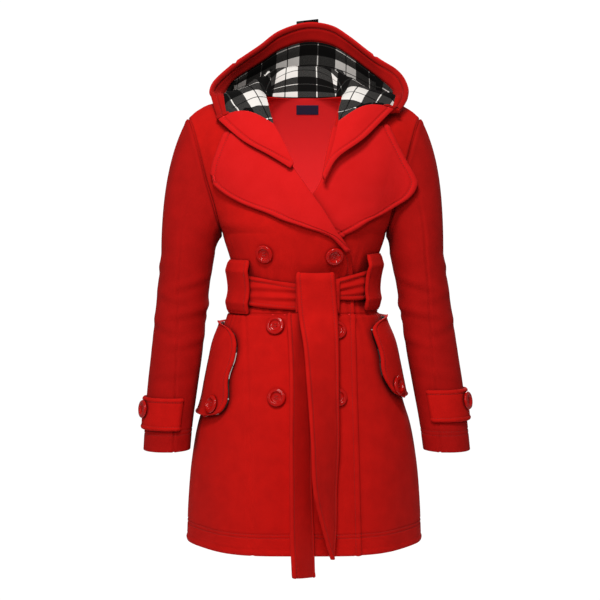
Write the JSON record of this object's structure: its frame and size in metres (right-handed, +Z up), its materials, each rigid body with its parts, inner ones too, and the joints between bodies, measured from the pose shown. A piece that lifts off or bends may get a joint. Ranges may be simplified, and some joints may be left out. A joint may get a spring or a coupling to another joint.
{
  "type": "hooded belted coat",
  "caption": "Red fleece hooded coat: double-breasted, tied belt, wide lapels, check-lined hood, pocket flaps and cuff tabs, filled out as when worn.",
  "frame": {"origin": "on the body's centre plane, level with the seam at the back of the neck", "axes": "+X to the viewer's right, which is the wearer's left; +Y to the back; +Z up"},
  "size_m": [0.5681, 0.4143, 0.9409],
  "materials": {
    "red_fleece": "brushed fleece, matt with a soft nap",
    "check_flannel": "black and white check, matt",
    "red_button": "polished polyester",
    "navy_tape": "woven tape, plain"
  },
  "bodies": {
    "root": {"back": "red_fleece", "front_over": "red_fleece", "front_under": "red_fleece", "sleeve_left": "red_fleece", "sleeve_right": "red_fleece", "lapel_over": "red_fleece", "lapel_under": "red_fleece", "hood_left": "red_fleece", "hood_centre": "red_fleece", "hood_right": "red_fleece", "hood_facing_left": "red_fleece", "hood_facing_rim": "red_fleece", "hood_facing_right": "red_fleece", "belt_band": "red_fleece", "belt_knot": "red_fleece", "belt_tail_front": "red_fleece", "belt_tail_back": "red_fleece", "belt_loop_left": "red_fleece", "belt_loop_right": "red_fleece", "pocket_flap_left": "red_fleece", "pocket_flap_right": "red_fleece", "cuff_tab_left": "red_fleece", "cuff_tab_right": "red_fleece", "hood_lining_left": "check_flannel", "hood_lining_centre": "check_flannel", "hood_lining_right": "check_flannel", "flap_lining_left": "check_flannel", "flap_lining_right": "check_flannel", "hood_tab": "check_flannel", "button_chest_left": "red_button", "button_chest_right": "red_button", "button_waist_left": "red_button", "button_waist_right": "red_button", "button_hip_left": "red_button", "button_hip_right": "red_button", "button_pocket_left": "red_button", "button_pocket_right": "red_button", "button_cuff_left": "red_button", "button_cuff_right": "red_button", "neck_label": "navy_tape"}
  },
  "joints": []
}
